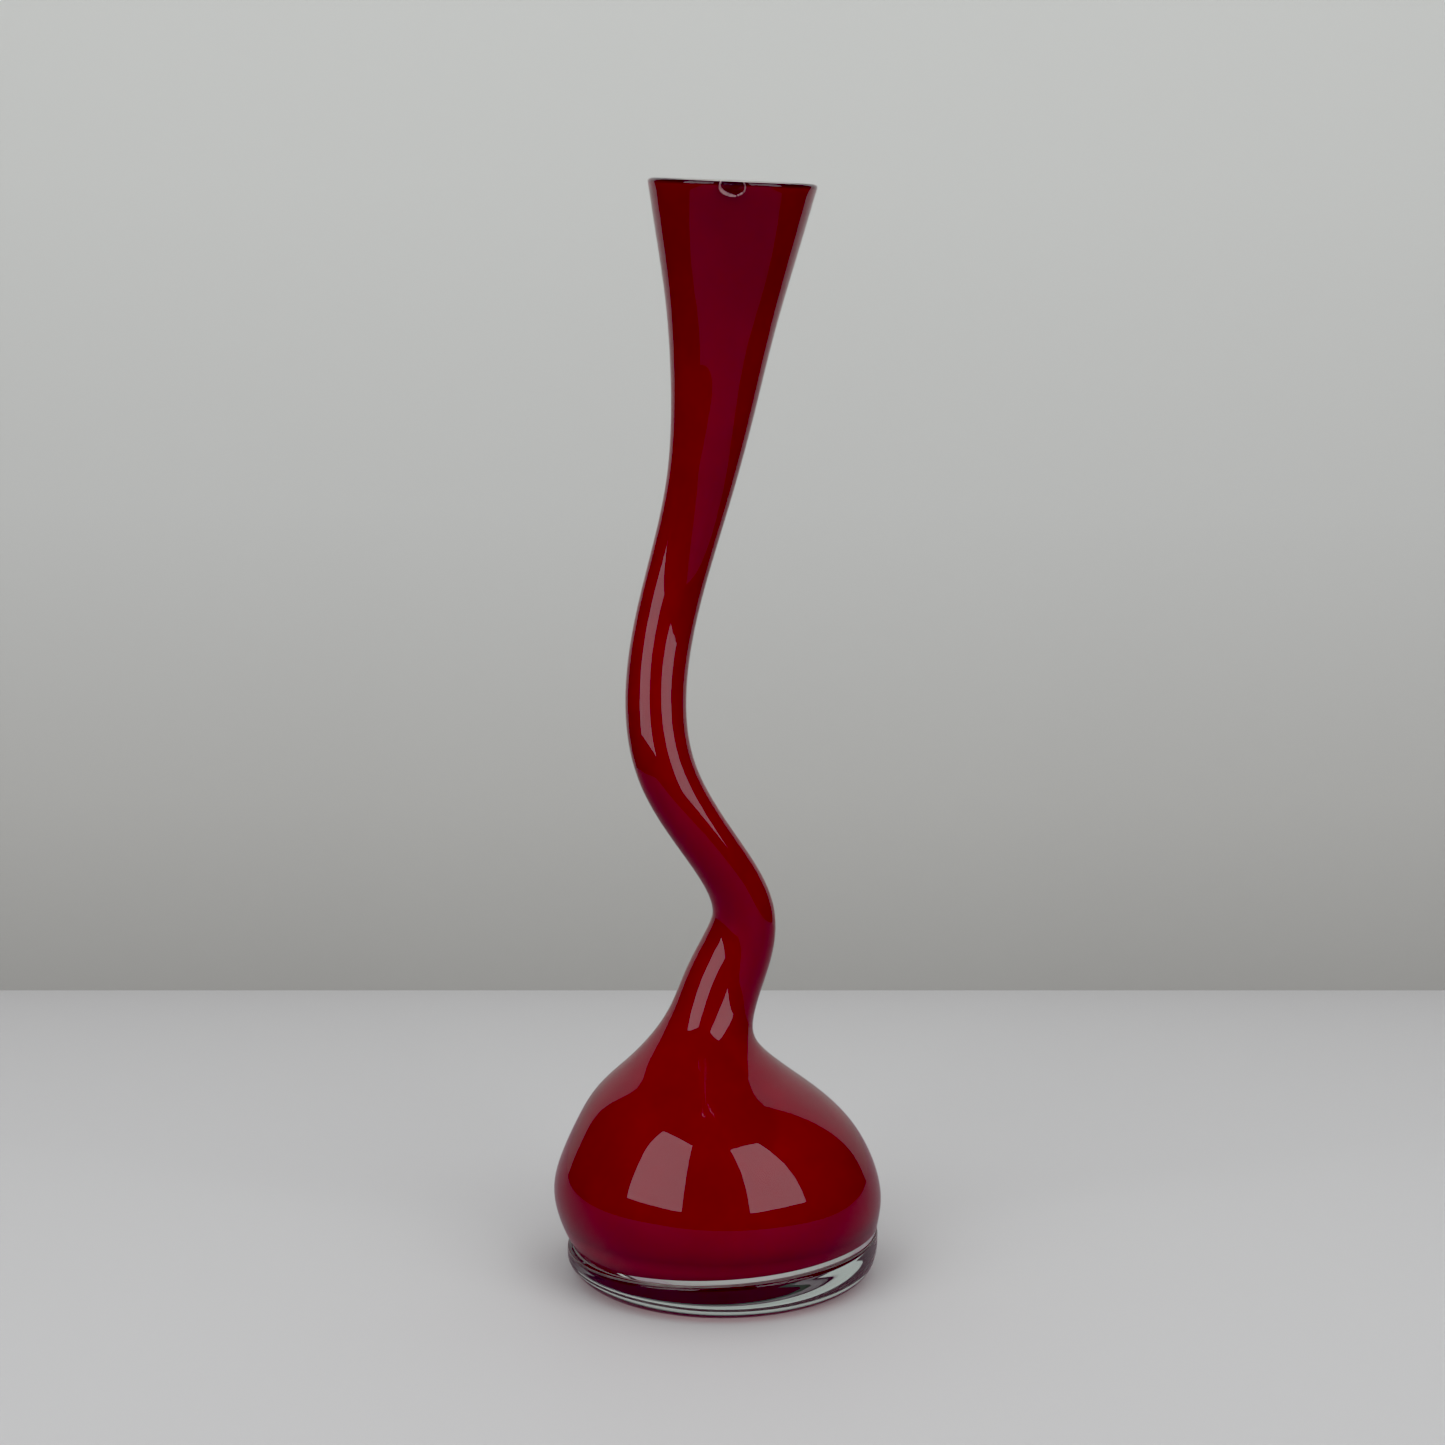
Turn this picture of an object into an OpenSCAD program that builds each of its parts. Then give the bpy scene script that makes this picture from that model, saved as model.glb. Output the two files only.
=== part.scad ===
// Hand blown vase: a low round belly, a neck drawn out and twisted like a corkscrew,
// and a trumpet mouth that leans forward. Three layers of glass, one inside the other,
// stand on a thick clear foot. Millimetres, +Z up, -Y towards the front, with the
// origin at the middle of the foot's underside.

/* [Foot] */
// Diameter of the clear foot
foot_d = 95; // [92:0.5:100]
// Thickness of the foot at its middle
foot_h = 11; // [9.5:0.5:12]
// Radius of the foot's rounded lower edge
foot_edge_r = 8; // [5:0.5:9]
// Slope of the foot's top, which rises towards +X, in degrees
foot_top_slope = 2.7; // [0:0.1:3]
// Diameter of the shallow hollow ground into the underside
hollow_d = 66; // [50:1:70]
// Depth of that hollow
hollow_depth = 0.8; // [0.4:0.1:1.2]

/* [Body] */
// Widest diameter of the belly
belly_d = 100; // [96:0.5:104]
// Height of the middle of the mouth above the table
mouth_h = 325; // [310:1:340]
// Outside diameter of the mouth
mouth_d = 50; // [44:0.5:56]
// Swing of the corkscrew neck, as a share of its full swing
neck_swing = 1; // [0:0.05:1.05]

/* [Glass layers] */
// Thickness of the clear outer casing
casing_t = 1.2; // [1:0.1:1.5]
// Thickness of the opaque red layer
red_t = 0.6; // [0.5:0.1:0.8]
// Thickness of the white inner lining
lining_t = 0.8; // [0.6:0.1:1]
// Thickness of the casing's bottom, on the foot
casing_floor_t = 1.2; // [1:0.1:1.5]
// Thickness of the lining's bottom
lining_floor_t = 1.4; // [1:0.1:1.6]

/* [Hidden] */

// The body's outside, drawn by hand: each list has only the heights where that curve turns
// Height and sideways place of the middle
SIDEWAYS = [
    [10, 1], [24, -1.5], [46, -3], [65, -6.5], [78, -3],
    [85, -0.5], [108, 6.5], [130, -4], [150, -16], [172, -20.5],
    [200, -17.5], [240, -7], [280, -1], [325, 3]
];
// Height and backward place of the middle
DEPTH = [
    [10, 0], [30, 0], [55, 0], [90, 9], [140, -1],
    [195, 8], [250, 1.5], [300, -9.5], [325, -18]
];
// Height and radius
RADIUS = [
    [10, 46], [15, 48], [24, 50], [35, 47.5], [46, 41.5],
    [55, 33.5], [63, 23.5], [72, 15], [82, 12.5], [95, 11.5],
    [115, 9], [150, 9], [200, 9.5], [240, 10.5], [264, 13],
    [290, 17], [310, 21.5], [325, 25]
];
CURVES = [SIDEWAYS, DEPTH, RADIUS];
body_from = 10;
body_to = 325;
nominal_mouth_r = 25;
nominal_belly_r = 50;

// Heights between which the glass stops being level rings and follows the neck
level_to = 58;
follows_from = 95;
// Height above which the slope of the foot has gone from the belly
slope_to = 28;
// The rim is cut flatter from side to side than the neck leans: the share left, and where it starts
mouth_lean = 0.5;
lean_from = 290;
// Heights between which the belly's size gives way to the mouth's
belly_ends = 80;
flare_starts = 200;

// Facets round the glass, and rings below and above the height where its bends get slower
SIDES = 32;
LOW_RINGS = 28;
HIGH_RINGS = 22;
slower_from = 120;
$fn = 96;

z_scale = mouth_h / body_to;
belly_scale = belly_d / (2 * nominal_belly_r);
mouth_scale = mouth_d / (2 * nominal_mouth_r);
floor_low = foot_h;

function ease(t) = t <= 0 ? 0 : t >= 1 ? 1 : t * t * (3 - 2 * t);

// Smooth curve through a list of points, with no jumps in its bend, at height z.
// Its slopes at the points come from one equation per point, solved down and back up.
function below(p, z, i = 0) = i >= len(p) - 2 || p[i + 1][0] > z ? i : below(p, z, i + 1);
function gap(p, i) = p[i + 1][0] - p[i][0];
function rise(p, i) = (p[i + 1][1] - p[i][1]) / gap(p, i);
function equation(p, i) =
    i == 0 ? [0, 2, 1, 3 * rise(p, 0)]
    : i == len(p) - 1 ? [1, 2, 0, 3 * rise(p, i - 1)]
    : [
        gap(p, i),
        2 * (gap(p, i - 1) + gap(p, i)),
        gap(p, i - 1),
        3 * (gap(p, i) * rise(p, i - 1) + gap(p, i - 1) * rise(p, i))
    ];
function solve_down(p, i = 0, done = []) =
    i > len(p) - 1
        ? done
        : let (
            e = equation(p, i),
            before = i == 0 ? [0, 0] : done[i - 1],
            k = e[1] - e[0] * before[0]
        )
        solve_down(p, i + 1, concat(done, [[e[2] / k, (e[3] - e[0] * before[1]) / k]]));
function solve_up(down, i, slopes = []) =
    i < 0
        ? slopes
        : let (above = len(slopes) == 0 ? 0 : slopes[0])
        solve_up(down, i - 1, concat([down[i][1] - down[i][0] * above], slopes));
SLOPES = [for (p = CURVES) solve_up(solve_down(p), len(p) - 1)];

function blend(p, m, i, u) =
    (2 * u ^ 3 - 3 * u ^ 2 + 1) * p[i][1]
    + (u ^ 3 - 2 * u ^ 2 + u) * gap(p, i) * m[i]
    + (3 * u ^ 2 - 2 * u ^ 3) * p[i + 1][1]
    + (u ^ 3 - u ^ 2) * gap(p, i) * m[i + 1];
function along(z, c) =
    let (p = CURVES[c], i = below(p, z))
    blend(p, SLOPES[c], i, (z - p[i][0]) / gap(p, i));

function size_at(z) =
    z < flare_starts
        ? belly_scale + (1 - belly_scale) * ease(z / belly_ends)
        : 1 + (mouth_scale - 1) * ease((z - flare_starts) / (body_to - flare_starts));
function middle(z) =
    [along(z, 0) * neck_swing, along(z, 1) * neck_swing, z * z_scale];
function radius(z) = along(z, 2) * size_at(z);

// The direction that a ring faces: level at the belly, along the neck above it
STEP = 0.1;
function facing(z) =
    let (
        low = max(z - STEP, body_from),
        high = min(z + STEP, body_to),
        run = (middle(high) - middle(low)) / (high - low),
        w = ease((z - level_to) / (follows_from - level_to)),
        s = 1 - ease((z - body_from) / (slope_to - body_from)),
        kept = 1 - (1 - mouth_lean) * ease((z - lean_from) / (body_to - lean_from)),
        n = [w * kept * run[0] / z_scale - s * tan(foot_top_slope), w * run[1] / z_scale, 1]
    )
    n / norm(n);

// A point of a ring, turned from level to face n by the smallest turn
function turned(p, n) =
    let (k = (p[0] * n[0] + p[1] * n[1]) / (1 + n[2]))
    [p[0] - k * n[0], p[1] - k * n[1], -(p[0] * n[0] + p[1] * n[1])];
function ring(z, inset) =
    let (n = facing(z), m = middle(z), r = radius(z) - inset)
    [for (k = [0 : SIDES - 1]) m + turned([r * cos(k * 360 / SIDES), r * sin(k * 360 / SIDES)], n)];

// Heights of the rings of a surface whose bottom is at the given height
function heights(bottom) = concat(
    [for (j = [0 : LOW_RINGS - 1]) bottom + (slower_from - bottom) * j / LOW_RINGS],
    [for (j = [0 : HIGH_RINGS]) slower_from + (body_to - slower_from) * j / HIGH_RINGS]
);
function surface_points(bottom, inset) = [for (z = heights(bottom)) each ring(z, inset)];
ROWS = LOW_RINGS + HIGH_RINGS + 1;

// The four round surfaces between the layers: height of the bottom, inset
outside = [floor_low, 0];
under_casing = [outside[0] + casing_floor_t, casing_t];
under_red = [under_casing[0] + red_t, casing_t + red_t];
inside = [under_red[0] + lining_floor_t, casing_t + red_t + lining_t];

// A skin over the rows from point number "first", facing outwards or inwards
function quads(first, outward) = [
    for (i = [0 : ROWS - 2], k = [0 : SIDES - 1])
        let (
            a = first + i * SIDES + k,
            b = first + i * SIDES + (k + 1) % SIDES,
            t = [[a, b + SIDES, b], [a, a + SIDES, b + SIDES]],
            flipped = [[a, b, b + SIDES], [a, b + SIDES, a + SIDES]]
        )
        each (outward ? t : flipped)
];

// One layer of glass: a cup between two round surfaces, open at the mouth
module layer(outer, inner) {
    count = ROWS * SIDES;
    points = concat(
        surface_points(outer[0], outer[1]),
        surface_points(inner[0], inner[1])
    );
    outer_bottom = [for (k = [0 : SIDES - 1]) k];
    inner_bottom = [for (k = [SIDES - 1 : -1 : 0]) count + k];
    rim_first = (ROWS - 1) * SIDES;
    rim = [
        for (k = [0 : SIDES - 1])
            let (
                a = rim_first + k,
                b = rim_first + (k + 1) % SIDES
            )
            each [[a, b + count, b], [a, a + count, b + count]]
    ];
    faces = concat([outer_bottom], quads(0, true), rim, quads(count, false), [inner_bottom]);
    polyhedron(points = points, faces = faces, convexity = 10);
}

// The foot's section, with a flat underside and a rounded lower edge
module foot_section() {
    foot_r = foot_d / 2;
    tall = foot_h + foot_r * tan(foot_top_slope);
    union() {
        square([foot_r - foot_edge_r, tall]);
        translate([0, foot_edge_r]) square([foot_r, tall - foot_edge_r]);
        translate([foot_r - foot_edge_r, foot_edge_r]) circle(r = foot_edge_r);
    }
}

module clear_foot() {
    color([0.78, 0.86, 0.83, 0.5])
    difference() {
        rotate_extrude() foot_section();
        // The sloping top, on which the body stands
        translate([0, 0, foot_h])
            rotate([0, -foot_top_slope, 0])
                translate([-foot_d, -foot_d, 0])
                    cube([2 * foot_d, 2 * foot_d, foot_h]);
        // The shallow hollow underneath, a cap of a large ball
        hollow_ball_r = ((hollow_d / 2) ^ 2 + hollow_depth ^ 2) / (2 * hollow_depth);
        translate([0, 0, hollow_depth - hollow_ball_r]) sphere(r = hollow_ball_r, $fn = 200);
    }
}

module clear_casing() {
    color([0.85, 0.90, 0.88, 0.35])
    layer(outside, under_casing);
}

module red_layer() {
    color([0.62, 0.02, 0.05])
    layer(under_casing, under_red);
}

module opal_lining() {
    color([0.93, 0.92, 0.90])
    layer(under_red, inside);
}

clear_foot();
clear_casing();
red_layer();
opal_lining();
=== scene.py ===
import math

import bmesh
import bpy
import numpy as np
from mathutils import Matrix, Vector


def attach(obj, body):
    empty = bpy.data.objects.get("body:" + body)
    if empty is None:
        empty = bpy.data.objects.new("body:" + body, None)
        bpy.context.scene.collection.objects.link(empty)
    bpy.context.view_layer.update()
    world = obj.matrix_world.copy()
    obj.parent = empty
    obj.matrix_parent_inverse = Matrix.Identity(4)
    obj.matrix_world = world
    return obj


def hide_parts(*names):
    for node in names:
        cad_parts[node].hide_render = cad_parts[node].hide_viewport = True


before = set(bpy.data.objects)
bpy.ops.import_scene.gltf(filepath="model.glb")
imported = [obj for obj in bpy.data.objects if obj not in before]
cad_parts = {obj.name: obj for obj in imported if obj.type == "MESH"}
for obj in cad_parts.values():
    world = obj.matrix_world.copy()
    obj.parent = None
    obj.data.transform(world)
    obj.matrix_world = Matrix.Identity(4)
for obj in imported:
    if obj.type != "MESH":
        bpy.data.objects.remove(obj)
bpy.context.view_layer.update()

MM = 0.001

# ---------------------------------------------------------------------------
# Shape, in millimetres. The sizes are the CAD model's, apart from the roundings that say so
# ---------------------------------------------------------------------------
FOOT_R = 47.5
FOOT_H = 11.0
FOOT_EDGE_R = 8.0
FOOT_TOP_R = 1.0    # rounding of the foot's top edge, which is sharp in the CAD model
FOOT_TOP_SLOPE = math.tan(math.radians(2.7))
HOLLOW_R = 33.0
HOLLOW_DEPTH = 0.8

CASING_T = 1.2
RED_T = 0.6
LINING_T = 0.8
CASING_FLOOR_T = 1.2
LINING_FLOOR_T = 1.4
WALL_T = CASING_T + RED_T + LINING_T

# The body's outside. Each list has the heights where that curve turns, and a few between them
# Height and sideways place of the middle
SIDEWAYS = [
    [10, 1], [24, -1.5], [46, -3], [65, -6.5], [78, -3],
    [85, -0.5], [108, 6.5], [130, -4], [150, -16], [172, -20.5],
    [200, -17.5], [240, -7], [280, -1], [325, 3]
]
# Height and backward place of the middle
DEPTH = [
    [10, 0], [30, 0], [55, 0], [90, 9], [140, -1],
    [195, 8], [250, 1.5], [300, -9.5], [325, -18]
]
# Height and radius
RADIUS = [
    [10, 46], [15, 48], [24, 50], [35, 47.5], [46, 41.5],
    [55, 33.5], [63, 23.5], [72, 15], [82, 12.5], [95, 11.5],
    [115, 9], [150, 9], [200, 9.5], [240, 10.5], [264, 13],
    [290, 17], [310, 21.5], [325, 25]
]
BODY_FROM = 10
MOUTH_Z = 325

# Heights between which level rings turn to follow the neck, and where the foot's slope is gone
LEVEL_TO = 58
FOLLOWS_FROM = 95
SLOPE_TO = 28

# The rim is cut flatter from side to side than the neck leans: the share of the lean that is
# left, and the height where that starts
MOUTH_LEAN = 0.5
LEAN_FROM = 290

SIDES = 144        # points round each ring
RING_STEP = 1.5    # height between rings, about


def ease(t):
    """Smooth step from 0 to 1."""
    t = np.clip(t, 0, 1)
    return t * t * (3 - 2 * t)


def spline_slopes(z, v):
    """Slopes at the stations of the curve through them whose curvature has no jumps."""
    n = len(z)
    h = np.diff(z)
    d = np.diff(v) / h
    a = np.zeros((n, n))
    b = np.zeros(n)
    a[0, 0], a[0, 1], b[0] = 2, 1, 3 * d[0]
    a[-1, -1], a[-1, -2], b[-1] = 2, 1, 3 * d[-1]
    for i in range(1, n - 1):
        a[i, i - 1], a[i, i], a[i, i + 1] = h[i], 2 * (h[i - 1] + h[i]), h[i - 1]
        b[i] = 3 * (h[i] * d[i - 1] + h[i - 1] * d[i])
    return np.linalg.solve(a, b)


CURVES = [np.array(points, dtype=float) for points in (SIDEWAYS, DEPTH, RADIUS)]
SLOPES = [spline_slopes(points[:, 0], points[:, 1]) for points in CURVES]
X, Y, R = 0, 1, 2


def along(z, curve):
    """Value and slope of one curve at height z."""
    zs, v, m = CURVES[curve][:, 0], CURVES[curve][:, 1], SLOPES[curve]
    i = int(np.clip(np.searchsorted(zs, z) - 1, 0, len(zs) - 2))
    h = zs[i + 1] - zs[i]
    u = (z - zs[i]) / h
    value = ((2 * u**3 - 3 * u**2 + 1) * v[i] + (u**3 - 2 * u**2 + u) * h * m[i]
             + (3 * u**2 - 2 * u**3) * v[i + 1] + (u**3 - u**2) * h * m[i + 1])
    slope = ((6 * u**2 - 6 * u) * (v[i] - v[i + 1]) / h
             + (3 * u**2 - 4 * u + 1) * m[i] + (3 * u**2 - 2 * u) * m[i + 1])
    return value, slope


def facing(z):
    """The direction that the ring at height z faces."""
    follow = ease((z - LEVEL_TO) / (FOLLOWS_FROM - LEVEL_TO))
    level = 1 - ease((z - BODY_FROM) / (SLOPE_TO - BODY_FROM))
    kept = 1 - (1 - MOUTH_LEAN) * ease((z - LEAN_FROM) / (MOUTH_Z - LEAN_FROM))
    n = np.array([
        follow * kept * along(z, X)[1] - level * FOOT_TOP_SLOPE,
        follow * along(z, Y)[1],
        1.0,
    ])
    return n / np.linalg.norm(n)


def ring(z, inset):
    """The ring of the body's outside at height z, shrunk by inset."""
    a = np.arange(SIDES) * 2 * math.pi / SIDES
    n = facing(z)
    r = along(z, R)[0] - inset
    x, y = r * np.cos(a), r * np.sin(a)
    k = (x * n[0] + y * n[1]) / (1 + n[2])
    flat = np.stack([x - k * n[0], y - k * n[1], -(x * n[0] + y * n[1])], axis=-1)
    middle = np.array([along(z, X)[0], along(z, Y)[0], z])
    return flat + middle


def heights(low, high):
    """Ring heights from low to high, evenly spaced."""
    return list(np.linspace(low, high, max(2, round((high - low) / RING_STEP) + 1)))


def mesh_from_rings(name, rings, materials, face_material=None):
    """A closed skin over rings of points, in the order that makes it face outwards."""
    count = len(rings[0])
    points = np.concatenate([[rings[0].mean(0)], *rings, [rings[-1].mean(0)]]) * MM
    last = len(points) - 1
    faces = [(0, 1 + (k + 1) % count, 1 + k) for k in range(count)]
    rows = [0] * count
    for i in range(len(rings) - 1):
        for k in range(count):
            a, b = 1 + i * count + k, 1 + i * count + (k + 1) % count
            faces.append((a, b, b + count, a + count))
            rows.append(i + 1)
    base = 1 + (len(rings) - 1) * count
    for k in range(count):
        faces.append((base + k, base + (k + 1) % count, last))
        rows.append(len(rings))
    mesh = bpy.data.meshes.new(name)
    mesh.from_pydata([tuple(p) for p in points], [], faces)
    mesh.validate()
    mesh.update()
    for m in materials:
        mesh.materials.append(m)
    mesh.polygons.foreach_set("use_smooth", [True] * len(mesh.polygons))
    if face_material:
        for polygon, row in zip(mesh.polygons, rows):
            polygon.material_index = face_material(row)
    obj = bpy.data.objects.new(name, mesh)
    bpy.context.scene.collection.objects.link(obj)
    return obj


# ---------------------------------------------------------------------------
# The layers of the body
# ---------------------------------------------------------------------------
LIP_R = WALL_T / 2
LIP_STEPS = 8
# The corner between floor and side inside the body, which is sharp in the CAD model
FLOOR_ROUND = 8.0
FLOOR_SHARES = (0.04, 0.25, 0.5, 0.7, 0.85, 0.95)
CORNER_STEPS = 6


def lip_ring(phi):
    """A ring of the rounded lip, at angle phi from its outer side over the top."""
    up = facing(MOUTH_Z)[2]
    return ring(MOUTH_Z - (LIP_R - LIP_R * math.sin(phi)) * up, LIP_R * (1 - math.cos(phi)))


def lip_angle(inset):
    """How far round the lip a surface at that inset meets it."""
    return math.acos(max(-1.0, min(1.0, 1 - inset / LIP_R)))


def floor_rings(z, inset, rounding):
    """Rings from near the middle of a surface's floor out to its side, with a rounded corner."""
    rings = []
    top = z + rounding
    for share in FLOOR_SHARES:
        edge = ring(z, inset + rounding)
        middle = edge.mean(0)
        rings.append(middle + (edge - middle) * share)
    for j in range(CORNER_STEPS):
        phi = j / CORNER_STEPS * math.pi / 2
        height = rounding * (1 - math.cos(phi))
        rings.append(ring(z + height, inset + rounding * (1 - math.sin(phi))))
    return rings, top


def side_rings(low, high, inset):
    return [ring(z, inset) for z in heights(low, high)]


def layer(name, outer, inner, materials, face_material=None):
    """A cup between two round surfaces, each given by floor height, inset and corner radius."""
    up = facing(MOUTH_Z)[2]
    phi_out, phi_in = lip_angle(outer[1]), lip_angle(inner[1])
    top_out = MOUTH_Z - LIP_R * (1 - math.sin(phi_out)) * up
    top_in = MOUTH_Z - LIP_R * (1 - math.sin(phi_in)) * up
    floor, z = floor_rings(outer[0], outer[1], outer[2])
    rings = floor + side_rings(z, top_out, outer[1])
    for j in range(1, LIP_STEPS):
        rings.append(lip_ring(phi_out + (phi_in - phi_out) * j / LIP_STEPS))
    floor, z = floor_rings(inner[0], inner[1], inner[2])
    rings += list(reversed(floor + side_rings(z, top_in, inner[1])))
    return mesh_from_rings(name, rings, materials, face_material)


# ---------------------------------------------------------------------------
# Materials
# ---------------------------------------------------------------------------
GLASS_IOR = 1.5
RIM_LINE = 1.3                 # depth of the dark line at the rim
RIM_LINE_FULL = 0.6            # share of that depth, from the rim, that is fully dark
PAINTED_LIGHT_FULL, PAINTED_LIGHT_GONE = 3.5, 6.5  # heights above the foot where the painted light on the red's underside ends


def new_material(name):
    m = bpy.data.materials.new(name)
    m.use_nodes = True
    nodes = m.node_tree.nodes
    nodes.clear()
    out = nodes.new("ShaderNodeOutputMaterial")
    bsdf = nodes.new("ShaderNodeBsdfPrincipled")
    m.node_tree.links.new(bsdf.outputs["BSDF"], out.inputs["Surface"])
    return m, nodes, m.node_tree.links, bsdf, out


def noise(nodes, links, scale, detail=2.0, roughness=0.5, distortion=0.0):
    coordinates = nodes.new("ShaderNodeTexCoord")
    n = nodes.new("ShaderNodeTexNoise")
    n.inputs["Scale"].default_value = scale
    n.inputs["Detail"].default_value = detail
    n.inputs["Roughness"].default_value = roughness
    n.inputs["Distortion"].default_value = distortion
    links.new(coordinates.outputs["Object"], n.inputs["Vector"])
    return n


def ramp(nodes, links, source, stops):
    r = nodes.new("ShaderNodeValToRGB")
    elements = r.color_ramp.elements
    while len(elements) < len(stops):
        elements.new(0.5)
    for e, (position, colour) in zip(elements, stops):
        e.position = position
        e.color = colour if len(colour) == 4 else (*colour, 1)
    links.new(source, r.inputs["Fac"])
    return r


def let_light_through(m, nodes, links, bsdf, out, tint):
    """Shadow rays pass through the glass, so that what is behind or under it is lit."""
    path = nodes.new("ShaderNodeLightPath")
    clear = nodes.new("ShaderNodeBsdfTransparent")
    clear.inputs["Color"].default_value = (*tint, 1)
    mix = nodes.new("ShaderNodeMixShader")
    links.new(path.outputs["Is Shadow Ray"], mix.inputs["Fac"])
    links.new(bsdf.outputs["BSDF"], mix.inputs[1])
    links.new(clear.outputs["BSDF"], mix.inputs[2])
    links.new(mix.outputs["Shader"], out.inputs["Surface"])


def clear_glass(name, tint, shadow_tint, wave_height, wave_scale, absorption=None, density=0.0):
    """Fire-polished clear glass with faint waves in its surface."""
    m, nodes, links, bsdf, out = new_material(name)
    bsdf.inputs["Transmission Weight"].default_value = 1.0
    bsdf.inputs["IOR"].default_value = GLASS_IOR
    streaks = noise(nodes, links, wave_scale, 2.0)
    lighter = tuple(min(1, c * 1.015) for c in tint)
    colour = ramp(nodes, links, streaks.outputs["Fac"], [(0.3, tint), (0.7, lighter)])
    links.new(colour.outputs["Color"], bsdf.inputs["Base Color"])
    wear = noise(nodes, links, 900, 3.0, 0.6)
    rough = ramp(nodes, links, wear.outputs["Fac"], [(0.55, (0.0,) * 3), (0.8, (0.03,) * 3)])
    links.new(rough.outputs["Color"], bsdf.inputs["Roughness"])
    bump = nodes.new("ShaderNodeBump")
    bump.inputs["Strength"].default_value = 1.0
    bump.inputs["Distance"].default_value = wave_height
    links.new(streaks.outputs["Fac"], bump.inputs["Height"])
    links.new(bump.outputs["Normal"], bsdf.inputs["Normal"])
    let_light_through(m, nodes, links, bsdf, out, shadow_tint)
    if absorption:
        volume = nodes.new("ShaderNodeVolumeAbsorption")
        volume.inputs["Color"].default_value = (*absorption, 1)
        volume.inputs["Density"].default_value = density
        links.new(volume.outputs["Volume"], out.inputs["Volume"])
    return m


def glass_contact():
    """Where two pieces of glass are fused face to face, nothing shows."""
    m, nodes, links, bsdf, out = new_material("glass_contact")
    nodes.remove(bsdf)
    clear = nodes.new("ShaderNodeBsdfTransparent")
    links.new(clear.outputs["BSDF"], out.inputs["Surface"])
    return m


def fracture_glass(name, colour, roughness, transmission):
    """Freshly broken glass, for the flake at the rim: smooth inside it, crushed at its edge."""
    m, nodes, links, bsdf, out = new_material(name)
    crush = noise(nodes, links, 1500, 3.0, 0.7)
    darker = tuple(0.6 * c for c in colour)
    shade = ramp(nodes, links, crush.outputs["Fac"], [(0.35, darker), (0.6, colour)])
    links.new(shade.outputs["Color"], bsdf.inputs["Base Color"])
    bsdf.inputs["Roughness"].default_value = roughness
    bsdf.inputs["Transmission Weight"].default_value = transmission
    bsdf.inputs["IOR"].default_value = GLASS_IOR
    bump = nodes.new("ShaderNodeBump")
    bump.inputs["Distance"].default_value = 0.00008
    links.new(crush.outputs["Fac"], bump.inputs["Height"])
    links.new(bump.outputs["Normal"], bsdf.inputs["Normal"])
    return m


def red_glass():
    """The opaque red, clouded, with a dark rim and a paler underside of painted light."""
    m, nodes, links, bsdf, out = new_material("red_glass")
    cloud = noise(nodes, links, 60, 4.0, 0.6, 0.4)
    colour = ramp(nodes, links, cloud.outputs["Fac"],
                  [(0.3, (0.195, 0.0, 0.004)), (0.55, (0.215, 0.0004, 0.005)),
                   (0.75, (0.235, 0.001, 0.006))])
    # The last of the red, at the rim, is nearly black
    place = nodes.new("ShaderNodeTexCoord")
    height = nodes.new("ShaderNodeVectorMath")
    height.operation = "DOT_PRODUCT"
    up = facing(MOUTH_Z)
    middle = np.array([along(MOUTH_Z, X)[0], along(MOUTH_Z, Y)[0], MOUTH_Z])
    links.new(place.outputs["Object"], height.inputs[0])
    height.inputs[1].default_value = tuple(up)
    line = nodes.new("ShaderNodeMapRange")
    rim = float(middle @ up) * MM
    line.inputs["From Min"].default_value = rim - RIM_LINE * MM
    line.inputs["From Max"].default_value = rim - RIM_LINE_FULL * RIM_LINE * MM
    links.new(height.outputs["Value"], line.inputs["Value"])
    dark = nodes.new("ShaderNodeMixRGB")
    dark.inputs["Color2"].default_value = (0.03, 0.0, 0.005, 1)
    links.new(line.outputs["Result"], dark.inputs["Fac"])
    # Painted light: its underside, seen through the foot, is a lighter red that stands in for the
    # light the foot's glass brings to it
    axes = nodes.new("ShaderNodeSeparateXYZ")
    links.new(place.outputs["Object"], axes.inputs["Vector"])
    low = nodes.new("ShaderNodeMapRange")
    low.inputs["From Min"].default_value = (FOOT_H + PAINTED_LIGHT_GONE) * MM
    low.inputs["From Max"].default_value = (FOOT_H + PAINTED_LIGHT_FULL) * MM
    links.new(axes.outputs["Z"], low.inputs["Value"])
    under = nodes.new("ShaderNodeMixRGB")
    under.inputs["Color2"].default_value = (0.45, 0.012, 0.02, 1)
    links.new(low.outputs["Result"], under.inputs["Fac"])
    links.new(colour.outputs["Color"], under.inputs["Color1"])
    links.new(under.outputs["Color"], dark.inputs["Color1"])
    links.new(dark.outputs["Color"], bsdf.inputs["Base Color"])
    bsdf.inputs["Roughness"].default_value = 0.5
    bsdf.inputs["Specular IOR Level"].default_value = 0.0
    return m


def opal_glass():
    """The glossy white lining."""
    m, nodes, links, bsdf, out = new_material("opal_glass")
    cloud = noise(nodes, links, 90, 3.0, 0.5)
    colour = ramp(nodes, links, cloud.outputs["Fac"],
                  [(0.3, (0.72, 0.70, 0.66)), (0.7, (0.80, 0.78, 0.74))])
    links.new(colour.outputs["Color"], bsdf.inputs["Base Color"])
    bsdf.inputs["Roughness"].default_value = 0.08
    bsdf.inputs["IOR"].default_value = GLASS_IOR
    return m


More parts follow.
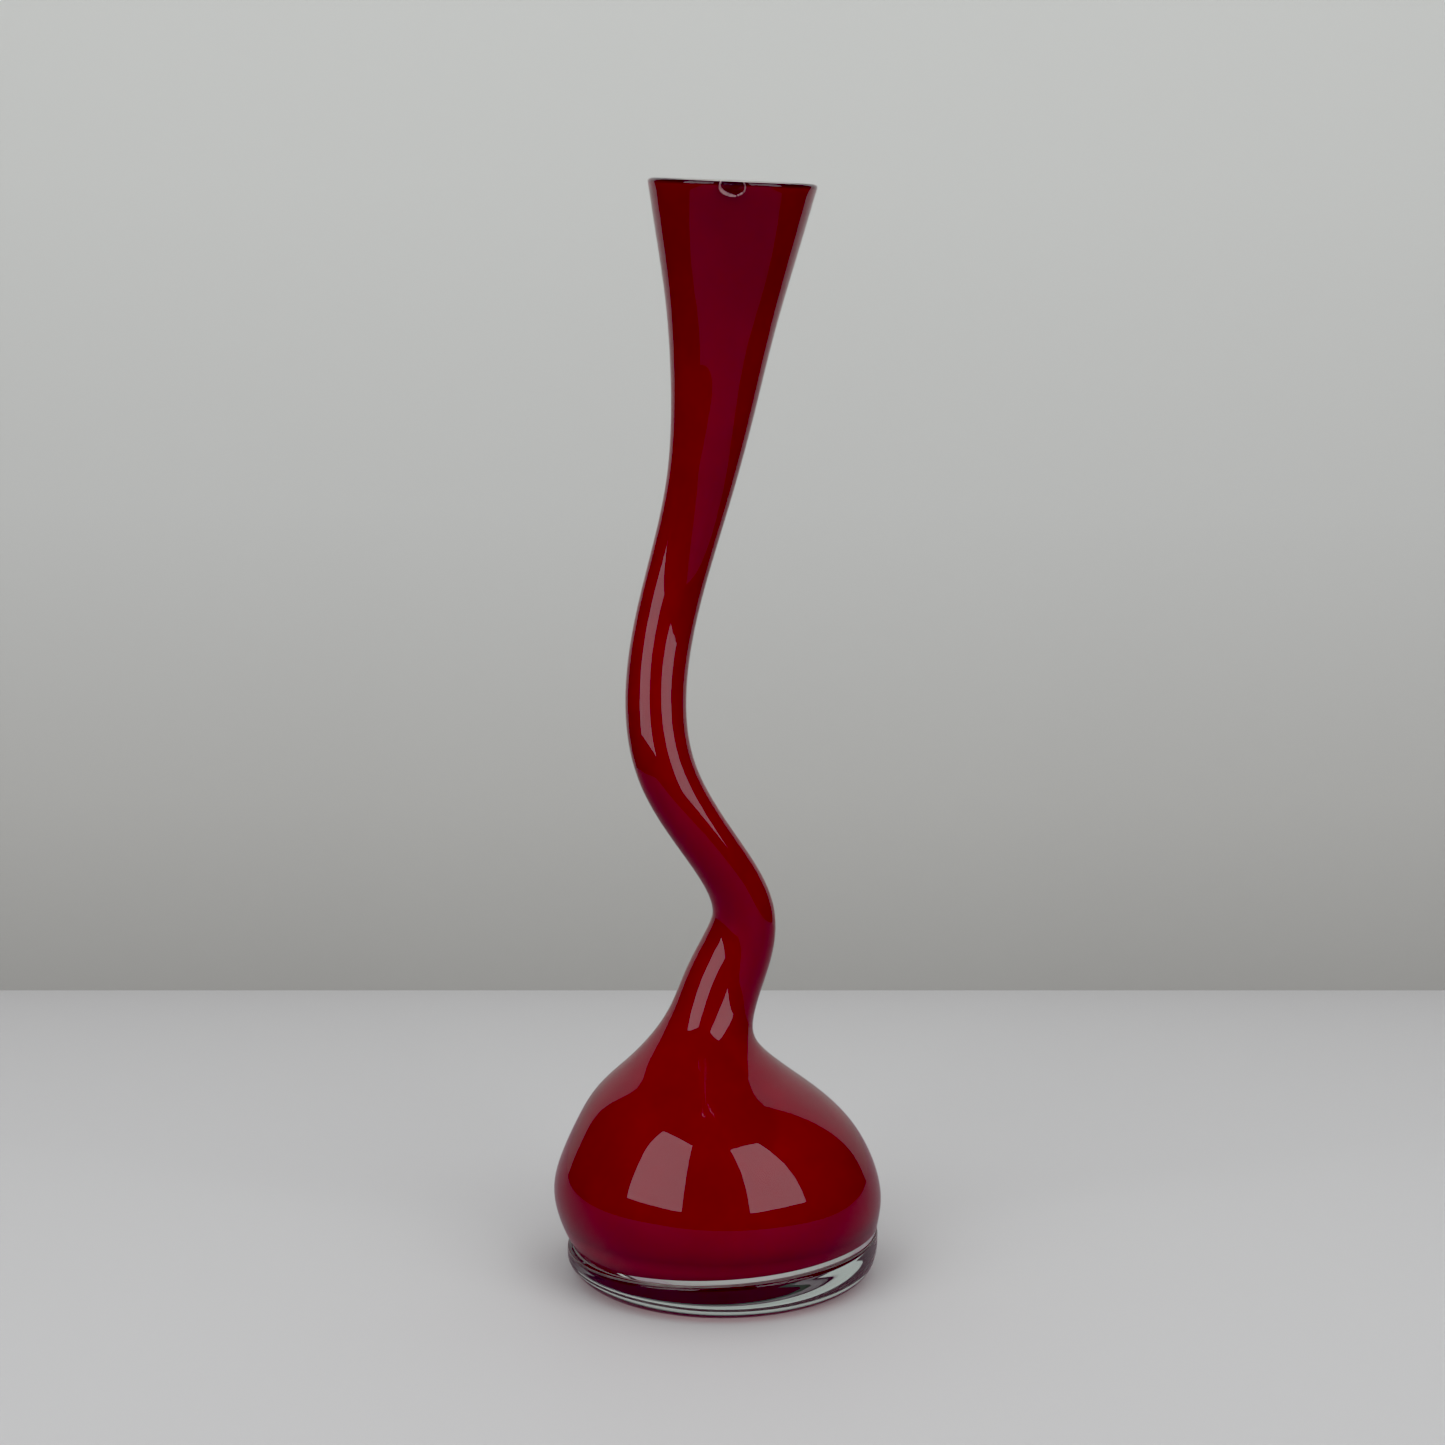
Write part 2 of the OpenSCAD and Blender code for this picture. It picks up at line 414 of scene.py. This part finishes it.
def ground_glass():
    """The matt ring under the foot, worn by the table: pale green with dark and yellow specks."""
    m, nodes, links, bsdf, out = new_material("ground_glass")
    cloud = noise(nodes, links, 180, 4.0, 0.65)
    base = ramp(nodes, links, cloud.outputs["Fac"],
                [(0.3, (0.30, 0.38, 0.34)), (0.5, (0.55, 0.65, 0.60)), (0.7, (0.72, 0.80, 0.76))])
    grit = noise(nodes, links, 1100, 3.0, 0.7)
    specks = ramp(nodes, links, grit.outputs["Fac"], [(0.60, (0, 0, 0)), (0.68, (1, 1, 1))])
    mix = nodes.new("ShaderNodeMixRGB")
    mix.inputs["Color2"].default_value = (0.05, 0.04, 0.02, 1)
    links.new(specks.outputs["Color"], mix.inputs["Fac"])
    links.new(base.outputs["Color"], mix.inputs["Color1"])
    links.new(mix.outputs["Color"], bsdf.inputs["Base Color"])
    bsdf.inputs["Roughness"].default_value = 0.6
    bsdf.inputs["IOR"].default_value = GLASS_IOR
    return m


def seam_painted_light():
    """The outer part of the join between foot and belly, pale, slightly milky glass: painted
    light, a pale band that stands in for the table's light seen through the foot.
    """
    m, nodes, links, bsdf, out = new_material("seam_painted_light")
    cloud = noise(nodes, links, 120, 3.0, 0.6)
    # painted light: the pale greens of the band under the seam
    shade = ramp(nodes, links, cloud.outputs["Fac"],
                 [(0.3, (0.50, 0.62, 0.57)), (0.7, (0.62, 0.74, 0.68))])
    links.new(shade.outputs["Color"], bsdf.inputs["Base Color"])
    bsdf.inputs["Transmission Weight"].default_value = 0.5
    bsdf.inputs["Roughness"].default_value = 0.3
    bsdf.inputs["IOR"].default_value = GLASS_IOR
    return m


GLASS_TINT = (0.97, 0.985, 0.98)
casing_glass = clear_glass("casing_glass", GLASS_TINT, (0.95, 0.97, 0.96),
                           wave_height=0.00002, wave_scale=30)
# The foot's shadow tint is pink, for the light on the table round it
foot_glass = clear_glass("foot_glass", GLASS_TINT, (1.0, 0.78, 0.80),
                         wave_height=0.00003, wave_scale=40,
                         absorption=(0.62, 0.84, 0.77), density=6.0)
ground = ground_glass()
seam = seam_painted_light()
contact = glass_contact()
fracture = fracture_glass("fracture_glass", (0.98, 0.96, 0.96), 0.12, 1.0)
fracture_edge = fracture_glass("fracture_edge", (0.72, 0.45, 0.46), 0.4, 0.6)
red = red_glass()
opal = opal_glass()

# ---------------------------------------------------------------------------
# Pieces
# ---------------------------------------------------------------------------
OPTICAL = 0.03        # how far a buried surface reaches into the glass outside it
SKIN = 0.02           # how far the casing's outside is drawn in from its full size
CASING_EDGE_R = 0.4   # rounding of the casing's lowest edge
FLOOR_ROWS = 7        # rows of the casing's underside that are fused to the foot
SEAM_LIGHT_ROWS = 3         # rows of the foot's top, from the outside, that are milky: the painted light band under the seam

# Places of the materials on the casing and on the foot
CASING_FACES, CASING_CONTACT, CHIP_FACES, CHIP_EDGE_FACES = 0, 1, 2, 3
FOOT_FACES, FOOT_CONTACT, FOOT_GROUND, FOOT_SEAM_LIGHT = 0, 1, 2, 3

# The flake gone from the casing at the front of the rim, the shape of a clam shell
CHIP_X = -0.3          # sideways place on the rim
CHIP_DOWN = 1.3        # how far the flake's middle is below the rim
CHIP_WIDE, CHIP_TALL = 3.7, 2.5   # half its width and height
CHIP_DEPTH = 0.8
CHIP_STEEP = 0.35      # a small power gives the hollow steep sides
CHIP_SHARE = 0.8       # the most of the casing that is gone
CHIP_AROUND = 2        # how far round the flake the mesh is made finer
CHIP_ABOVE = 1         # and how far above the rim
CHIP_CUTS = 5
RIPPLE_DEPTH, RIPPLE_EVERY = 0.12, 1.3
RIPPLE_WANDER, RIPPLE_WANDER_RATE, RIPPLE_WANDER_START = 0.45, 2.3, 1.0
RIPPLE_SLANT = 0.25
CRUSH_THIN, CRUSH_SWELL, CRUSH_TURN = 0.06, 0.34, 0.9   # the crushed edge's crescent

# Rows of the foot, as shares of the stretch that they cover
HOLLOW_SHARES = (0.03, 0.15, 0.3, 0.45, 0.6, 0.75, 0.88, 0.96, 1.0)
GROUND_SHARES = (0.05, 0.25, 0.5, 0.75, 0.97)
SIDE_SHARES = (0.25, 0.5, 0.75)
FUSED_SHARES = (0.98, 0.92, 0.84, 0.7, 0.5, 0.25, 0.03)
FOOT_EDGE_STEPS = 16
FOOT_TOP_STEPS = 8
FUSED_INSET = 0.4      # the join ends this far inside the body's side
FUSED_STEP = 0.1
FUSED_DROP = 0.02      # and lies this far under the casing
TILT_FROM = 2.0        # height where the foot's slope begins

casing = layer("casing", (FOOT_H, SKIN, CASING_EDGE_R),
               (FOOT_H + CASING_FLOOR_T, CASING_T, FLOOR_ROUND),
               [casing_glass, contact, fracture, fracture_edge],
               lambda row: CASING_CONTACT if row < FLOOR_ROWS else CASING_FACES)


def chip_rim(obj):
    """Push the casing's outer face in over the flake, with ripples round where it was struck."""
    up = Vector(facing(MOUTH_Z))
    middle = Vector((along(MOUTH_Z, X)[0], along(MOUTH_Z, Y)[0], MOUTH_Z))

    def place(co):
        """A point's sideways, downwards and inwards distance, and its vector from the axis."""
        p = co / MM - middle
        down = -p.dot(up)
        flat = p + up * down
        taper = along(MOUTH_Z - max(0.0, down) * up.z, R)[0]
        return p.x - CHIP_X, down, taper - flat.length, flat

    def near(v):
        side, down, inset, flat = place(v.co)
        lowest = CHIP_DOWN + CHIP_TALL + CHIP_AROUND
        return (flat.y < 0 and inset < CASING_T
                and abs(side) < CHIP_WIDE + CHIP_AROUND and -CHIP_ABOVE < down < lowest)

    bm = bmesh.new()
    bm.from_mesh(obj.data)
    picked = [e for e in bm.edges if near(e.verts[0]) and near(e.verts[1])]
    bmesh.ops.subdivide_edges(bm, edges=picked, cuts=CHIP_CUTS, use_grid_fill=True)
    bm.normal_update()
    pushed = []
    for v in bm.verts:
        if not near(v):
            continue
        side, down, inset, flat = place(v.co)
        spread = (side / CHIP_WIDE) ** 2 + ((down - CHIP_DOWN) / CHIP_TALL) ** 2
        if spread >= 1:
            continue
        struck = math.hypot(side, down)
        wander = RIPPLE_WANDER * math.sin(RIPPLE_WANDER_RATE * side + RIPPLE_WANDER_START)
        skew = struck + wander + RIPPLE_SLANT * side
        ripple = RIPPLE_DEPTH * math.sin(skew / RIPPLE_EVERY * 2 * math.pi) * (1 - spread)
        depth = CHIP_DEPTH * (1 - spread) ** CHIP_STEEP + ripple
        depth = min(depth, CHIP_SHARE * max(0.0, CASING_T - inset))
        # The crushed edge is a crescent, thickest at the lower left
        turn = math.atan2(down - CHIP_DOWN, -side)
        thick = CRUSH_THIN + CRUSH_SWELL * max(0.0, math.cos(turn - CRUSH_TURN)) ** 2
        pushed.append((v, -flat.normalized() * depth * MM, spread, thick))
    spreads = {v: (spread, thick) for v, move, spread, thick in pushed}
    for face in bm.faces:
        inside = [spreads[v] for v in face.verts if v in spreads]
        if not inside:
            continue
        on_edge = any(spread > 1 - thick for spread, thick in inside)
        face.material_index = CHIP_EDGE_FACES if on_edge else CHIP_FACES
    for v, move, spread, thick in pushed:
        v.co += move
    bm.to_mesh(obj.data)
    bm.free()


chip_rim(casing)
RED_FLOOR = FOOT_H + CASING_FLOOR_T
LINING_FLOOR = FOOT_H + CASING_FLOOR_T + RED_T
red_piece = layer("red_layer.visual",
                  (RED_FLOOR - OPTICAL, CASING_T - OPTICAL, FLOOR_ROUND),
                  (LINING_FLOOR, CASING_T + RED_T, FLOOR_ROUND), [red])
lining = layer("lining",
               (LINING_FLOOR - OPTICAL, CASING_T + RED_T - OPTICAL, FLOOR_ROUND),
               (LINING_FLOOR + LINING_FLOOR_T, WALL_T, FLOOR_ROUND), [opal])


def foot_piece():
    """The thick clear foot: flat ring and shallow hollow below, rounded edges, sloping top."""
    section = []
    ball_r = (HOLLOW_R**2 + HOLLOW_DEPTH**2) / (2 * HOLLOW_DEPTH)
    for share in HOLLOW_SHARES:
        r = HOLLOW_R * share
        section.append((r, HOLLOW_DEPTH - ball_r + math.sqrt(ball_r**2 - r**2)))
    hollow_count = len(section)
    flat_to = FOOT_R - FOOT_EDGE_R
    section += [(HOLLOW_R + (flat_to - HOLLOW_R) * s, 0.0) for s in GROUND_SHARES]
    ring_count = len(section) - hollow_count
    for j in range(FOOT_EDGE_STEPS + 1):
        a = j / FOOT_EDGE_STEPS * math.pi / 2
        section.append((flat_to + FOOT_EDGE_R * math.sin(a),
                        FOOT_EDGE_R * (1 - math.cos(a))))
    shoulder = FOOT_H - FOOT_TOP_R
    section += [(FOOT_R, FOOT_EDGE_R + (shoulder - FOOT_EDGE_R) * s) for s in SIDE_SHARES]
    for j in range(FOOT_TOP_STEPS + 1):
        a = j / FOOT_TOP_STEPS * math.pi / 2
        section.append((FOOT_R - FOOT_TOP_R * (1 - math.cos(a)),
                        shoulder + FOOT_TOP_R * math.sin(a)))
    fused_r = along(FOOT_H, R)[0] - FUSED_INSET
    fused_z = FOOT_H - FUSED_DROP
    section += [(fused_r + FUSED_STEP, fused_z), (fused_r, fused_z)]
    fused_from = len(section) - 1
    section += [(fused_r * s, fused_z) for s in FUSED_SHARES]
    a = np.arange(SIDES) * 2 * math.pi / SIDES
    rings = []
    for r, z in section:
        x = r * np.cos(a)
        share = float(ease((z - TILT_FROM) / (FOOT_H - FOOT_TOP_R - TILT_FROM)))
        tilt = FOOT_TOP_SLOPE * share
        rings.append(np.stack([x, r * np.sin(a), z + x * tilt], axis=-1))
    ground_rows = range(hollow_count, hollow_count + ring_count)

    def material(row):
        if row > fused_from:
            return FOOT_SEAM_LIGHT if row <= fused_from + SEAM_LIGHT_ROWS else FOOT_CONTACT
        return FOOT_GROUND if row in ground_rows else FOOT_FACES

    return mesh_from_rings("foot", rings, [foot_glass, contact, ground, seam], material)


foot = foot_piece()

for piece, node, slot in (
    (foot, "clear_foot", "clear_foot_glass"),
    (casing, "clear_casing", "clear_casing_glass"),
    (red_piece, "red_layer", "red_glass"),
    (lining, "opal_lining", "opal_glass"),
):
    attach(piece, "root")
    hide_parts(node)


# ---------------------------------------------------------------------------
# Stage, light and camera
# ---------------------------------------------------------------------------
def plane(name, corners, material):
    mesh = bpy.data.meshes.new(name)
    mesh.from_pydata(corners, [], [(0, 1, 2, 3)])
    mesh.materials.append(material)
    obj = bpy.data.objects.new(name, mesh)
    bpy.context.scene.collection.objects.link(obj)
    return obj


# Metres
FLOOR_Z = -0.0001
WALL_Y = 0.473
WALL_TOP = 1.2
NEAR = 0.62
FAR = 4.0


def table_paint_with_painted_reflection():
    """Pale paint, with a painted reflection: in mirror images it is darker than to the eye, which
    matches the picture.
    """
    m, nodes, links, bsdf, out = new_material("floor_paint_with_painted_reflection")
    path = nodes.new("ShaderNodeLightPath")
    shade = nodes.new("ShaderNodeMixRGB")
    shade.inputs["Color1"].default_value = (0.545, 0.553, 0.555, 1)
    # painted reflection: the darker colour that mirror images of the table show
    shade.inputs["Color2"].default_value = (0.32, 0.28, 0.30, 1)
    links.new(path.outputs["Is Glossy Ray"], shade.inputs["Fac"])
    links.new(shade.outputs["Color"], bsdf.inputs["Base Color"])
    bsdf.inputs["Roughness"].default_value = 0.6
    bsdf.inputs["Specular IOR Level"].default_value = 0.2
    return m


floor_paint_with_painted_reflection = table_paint_with_painted_reflection()


def backdrop_paint_and_shade():
    """Plain pale paint, with painted shade that makes it a little darker down by the floor."""
    m, nodes, links, bsdf, out = new_material("backdrop_paint_and_shade")
    place = nodes.new("ShaderNodeTexCoord")
    axes = nodes.new("ShaderNodeSeparateXYZ")
    links.new(place.outputs["Object"], axes.inputs["Vector"])
    # painted shade: darker towards the bottom, by the floor
    shade = ramp(nodes, links, axes.outputs["Z"],
                 [(0.0, (0.37, 0.38, 0.36)), (0.12, (0.45, 0.46, 0.44)),
                  (0.3, (0.515, 0.53, 0.515)), (0.5, (0.54, 0.557, 0.54))])
    links.new(shade.outputs["Color"], bsdf.inputs["Base Color"])
    bsdf.inputs["Roughness"].default_value = 0.8
    bsdf.inputs["Specular IOR Level"].default_value = 0.2
    return m


wall_paint_and_shade = backdrop_paint_and_shade()


def level(name, x0, x1, y0, y1, z=FLOOR_Z):
    """A piece of the floor."""
    return plane(name, [(x0, y0, z), (x1, y0, z), (x1, y1, z), (x0, y1, z)], floor_paint_with_painted_reflection)


level("floor", -NEAR, NEAR, -NEAR, WALL_Y)
plane("backdrop", [(-NEAR, WALL_Y, FLOOR_Z), (NEAR, WALL_Y, FLOOR_Z),
                   (NEAR, WALL_Y, WALL_TOP), (-NEAR, WALL_Y, WALL_TOP)], wall_paint_and_shade)
# Beyond the table's edge the floor only fills the view, and lights or mirrors nothing
for name, x0, x1, y0, y1 in (
    ("floor.left", -FAR, -NEAR, -FAR, FAR),
    ("floor.right", NEAR, FAR, -FAR, FAR),
    ("floor.front", -NEAR, NEAR, -FAR, -NEAR),
    ("floor.back", -NEAR, NEAR, WALL_Y, FAR),
):
    far = level(name, x0, x1, y0, y1)
    far.visible_glossy = False
    far.visible_diffuse = False


# Two tall windows in front, left and right, which show as mirror images in the glass:
# how far away, and their angles in degrees
WINDOW_AWAY = 1.6
WINDOW_AZIMUTH = 44.0
WINDOW_HALF_ANGLE = 21.0
WINDOW_LOW, WINDOW_TOP = 14.0, 62.0
WINDOW_RADIANCE = 2.1

# A pale ceiling over the table, which no mirror image shows
CEILING_SIZE, CEILING_RADIANCE = 2.4, 1.0
CEILING_Y, CEILING_Z = -0.3, 2.2


def area_light(name, width, height, radiance, place, target):
    light = bpy.data.lights.new(name, "AREA")
    light.shape = "RECTANGLE"
    light.size = width
    light.size_y = height
    light.energy = radiance * math.pi * width * height
    obj = bpy.data.objects.new(name, light)
    obj.location = place
    obj.rotation_euler = (Vector(target) - Vector(place)).to_track_quat("-Z", "Y").to_euler()
    obj.visible_camera = False
    bpy.context.scene.collection.objects.link(obj)
    return obj


def window(name, side):
    low = WINDOW_AWAY * math.tan(math.radians(WINDOW_LOW))
    top = WINDOW_AWAY * math.tan(math.radians(WINDOW_TOP))
    width = 2 * WINDOW_AWAY * math.tan(math.radians(WINDOW_HALF_ANGLE))
    angle = math.radians(WINDOW_AZIMUTH) * side
    x, y = WINDOW_AWAY * math.sin(angle), -WINDOW_AWAY * math.cos(angle)
    z = (low + top) / 2
    area_light(name, width, top - low, WINDOW_RADIANCE, (x, y, z), (0, 0, z))


window("window.left", -1)
window("window.right", 1)
ceiling = area_light("ceiling", CEILING_SIZE, CEILING_SIZE, CEILING_RADIANCE,
                     (0, CEILING_Y, CEILING_Z), (0, CEILING_Y, 0))
ceiling.visible_glossy = False
ceiling.visible_transmission = False

# The room: pale to the eye, dark in mirror images and through glass, and a soft fill light
ROOM_SEEN = 0.5
ROOM_FILL = 0.35
ROOM_MIRRORED = 0.015
world = bpy.data.worlds.new("world")
bpy.context.scene.world = world
world.use_nodes = True
wn = world.node_tree.nodes
wl = world.node_tree.links
wn.clear()
path = wn.new("ShaderNodeLightPath")


def background(level):
    node = wn.new("ShaderNodeBackground")
    node.inputs["Color"].default_value = (level, level, level, 1)
    return node.outputs["Background"]


def choose(ray, otherwise, chosen):
    """One background for a kind of ray, and another for the rest."""
    mix = wn.new("ShaderNodeMixShader")
    wl.new(path.outputs[ray], mix.inputs["Fac"])
    wl.new(otherwise, mix.inputs[1])
    wl.new(chosen, mix.inputs[2])
    return mix.outputs["Shader"]


unseen = choose("Is Diffuse Ray", background(ROOM_MIRRORED), background(ROOM_FILL))
light_seen = choose("Is Camera Ray", unseen, background(ROOM_SEEN))
wl.new(light_seen, wn.new("ShaderNodeOutputWorld").inputs["Surface"])

CAMERA_AT = (0.0, -0.459, 0.168)
CAMERA_PITCH = 1.45    # degrees down from level
SENSOR_WIDTH, LENS = 36, 37.4
SHIFT_Y = 0.025
CLIP_FROM, CLIP_TO = 0.01, 20
BLACK_LEVEL = (0.0, 0.017, 0.008)   # takes a little green and blue out of the dark tones

camera_data = bpy.data.cameras.new("camera")
camera_data.sensor_width = SENSOR_WIDTH
camera_data.lens = LENS
camera_data.shift_y = SHIFT_Y
camera_data.clip_start = CLIP_FROM
camera_data.clip_end = CLIP_TO
camera = bpy.data.objects.new("camera", camera_data)
camera.location = CAMERA_AT
camera.rotation_euler = (math.radians(90 - CAMERA_PITCH), 0, 0)
bpy.context.scene.collection.objects.link(camera)
bpy.context.scene.camera = camera
settings = bpy.context.scene.view_settings
settings.view_transform = "Standard"
settings.use_curve_mapping = True
settings.curve_mapping.black_level = BLACK_LEVEL
